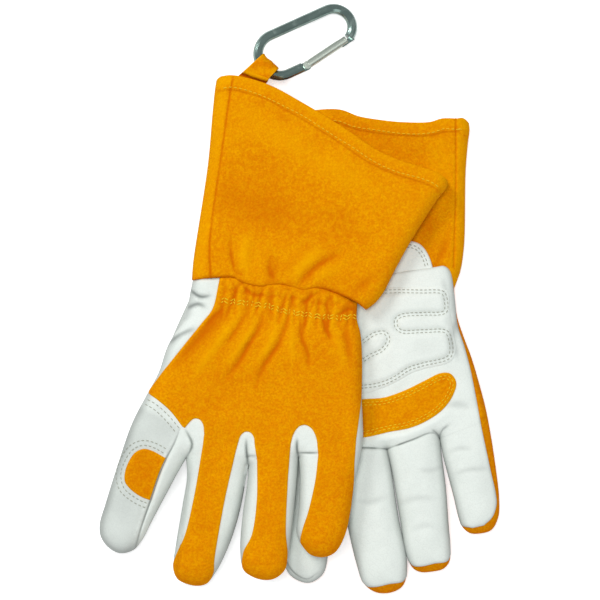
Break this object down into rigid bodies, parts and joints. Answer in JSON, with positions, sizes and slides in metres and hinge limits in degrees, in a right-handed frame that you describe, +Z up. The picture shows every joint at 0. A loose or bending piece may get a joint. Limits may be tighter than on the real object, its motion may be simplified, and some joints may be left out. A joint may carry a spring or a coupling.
{
  "type": "leather gauntlet gloves",
  "caption": "Pair of padded leather gauntlet gloves with flared cuffs, stacked flat, with a carabiner held in a strap loop at the upper cuff.",
  "frame": {"origin": "middle of the bottom of the stacked pair's box, on the surface it lies on", "axes": "+X across the pair, +Y from the fingertips towards the cuffs and the carabiner, +Z up"},
  "size_m": [0.2478, 0.3794, 0.035],
  "materials": {
    "white_leather": "soft matt grain leather",
    "orange_suede": "brushed suede",
    "elastic": "woven elastic tape",
    "clip_rod": "glossy anodised green-grey",
    "clip_gate": "polished",
    "spring_wire": "drawn wire"
  },
  "bodies": {
    "right_glove": {"right_palm": "white_leather", "right_back": "orange_suede", "right_wrist_elastic": "elastic", "right_cuff_palm": "orange_suede", "right_cuff_back": "orange_suede", "right_cuff_tab": "white_leather", "right_palm_pad": "white_leather", "right_thumb_tongue": "white_leather", "right_knuckle_patch": "orange_suede", "right_thumb": "white_leather", "right_index_stall": "white_leather", "right_index_back": "white_leather", "right_index_patch": "orange_suede", "right_middle_stall": "white_leather", "right_middle_back": "orange_suede"},
    "right_ring": {"right_ring_stall": "white_leather", "right_ring_back": "orange_suede"},
    "right_little": {"right_little_stall": "white_leather", "right_little_back": "orange_suede"},
    "left_hand": {"left_palm": "white_leather", "left_back": "orange_suede", "left_wrist_elastic": "elastic", "left_palm_pad": "white_leather", "left_thumb_tongue": "white_leather", "left_knuckle_patch": "orange_suede", "left_thumb": "white_leather"},
    "left_index": {"left_index_stall": "white_leather", "left_index_back": "white_leather", "left_index_patch": "orange_suede"},
    "left_middle": {"left_middle_stall": "white_leather", "left_middle_back": "orange_suede"},
    "left_ring": {"left_ring_stall": "white_leather", "left_ring_back": "orange_suede"},
    "left_little": {"left_little_stall": "white_leather", "left_little_back": "orange_suede"},
    "left_cuff": {"left_cuff_palm": "orange_suede", "left_cuff_back": "orange_suede", "left_cuff_tab": "white_leather", "hang_loop": "orange_suede"},
    "carabiner": {"carabiner_body": "clip_rod"},
    "gate": {"carabiner_gate": "clip_gate", "gate_rivet": "clip_gate", "latch_pin": "clip_gate", "gate_plunger": "clip_gate", "gate_spring": "spring_wire"}
  },
  "joints": [
    {"name": "right_ring_bend", "type": "hinge", "parent": "right_glove", "child": "right_ring", "pos_m": [0.07112, -0.08481, 0.016], "axis": [-0.9877, -0.1564, 0], "range_deg": [0, 60]},
    {"name": "right_little_bend", "type": "hinge", "parent": "right_glove", "child": "right_little", "pos_m": [0.10405, -0.0721, 0.016], "axis": [-0.9962, -0.0872, 0], "range_deg": [0, 60]},
    {"name": "left_glove_lift", "type": "slide", "parent": "right_glove", "child": "left_hand", "axis": [0, 0, 1], "range_m": [0, 0.15]},
    {"name": "left_index_bend", "type": "hinge", "parent": "left_hand", "child": "left_index", "pos_m": [-0.08391, -0.0721, 0.035], "axis": [-0.9455, 0.3256, 0], "range_deg": [0, 35]},
    {"name": "left_middle_bend", "type": "hinge", "parent": "left_hand", "child": "left_middle", "pos_m": [-0.05075, -0.08561, 0.035], "axis": [-0.9848, 0.1736, 0], "range_deg": [0, 35]},
    {"name": "left_ring_bend", "type": "hinge", "parent": "left_hand", "child": "left_ring", "pos_m": [-0.0163, -0.08848, 0.035], "axis": [-0.9976, 0.0698, 0], "range_deg": [0, 35]},
    {"name": "left_little_bend", "type": "hinge", "parent": "left_hand", "child": "left_little", "pos_m": [0.01886, -0.08535, 0.035], "axis": [-0.9945, 0.1045, 0], "range_deg": [0, 35]},
    {"name": "left_wrist_bend", "type": "hinge", "parent": "left_hand", "child": "left_cuff", "pos_m": [-0.01738, -0.00109, 0.0307], "axis": [0.9718, -0.236, 0], "range_deg": [0, 35]},
    {"name": "carabiner_swing", "type": "hinge", "parent": "left_cuff", "child": "carabiner", "pos_m": [-0.02361, 0.14682, 0.016], "axis": [0.7071, -0.7071, 0], "range_deg": [0, 90]},
    {"name": "gate_swing", "type": "hinge", "parent": "carabiner", "child": "gate", "pos_m": [0.00362, 0.1495, 0.01184], "axis": [0.1366, 0.1366, 0.9812], "range_deg": [0, 28], "stiffness_Nm_per_rad": 0.02, "springref_deg": -11.46}
  ]
}
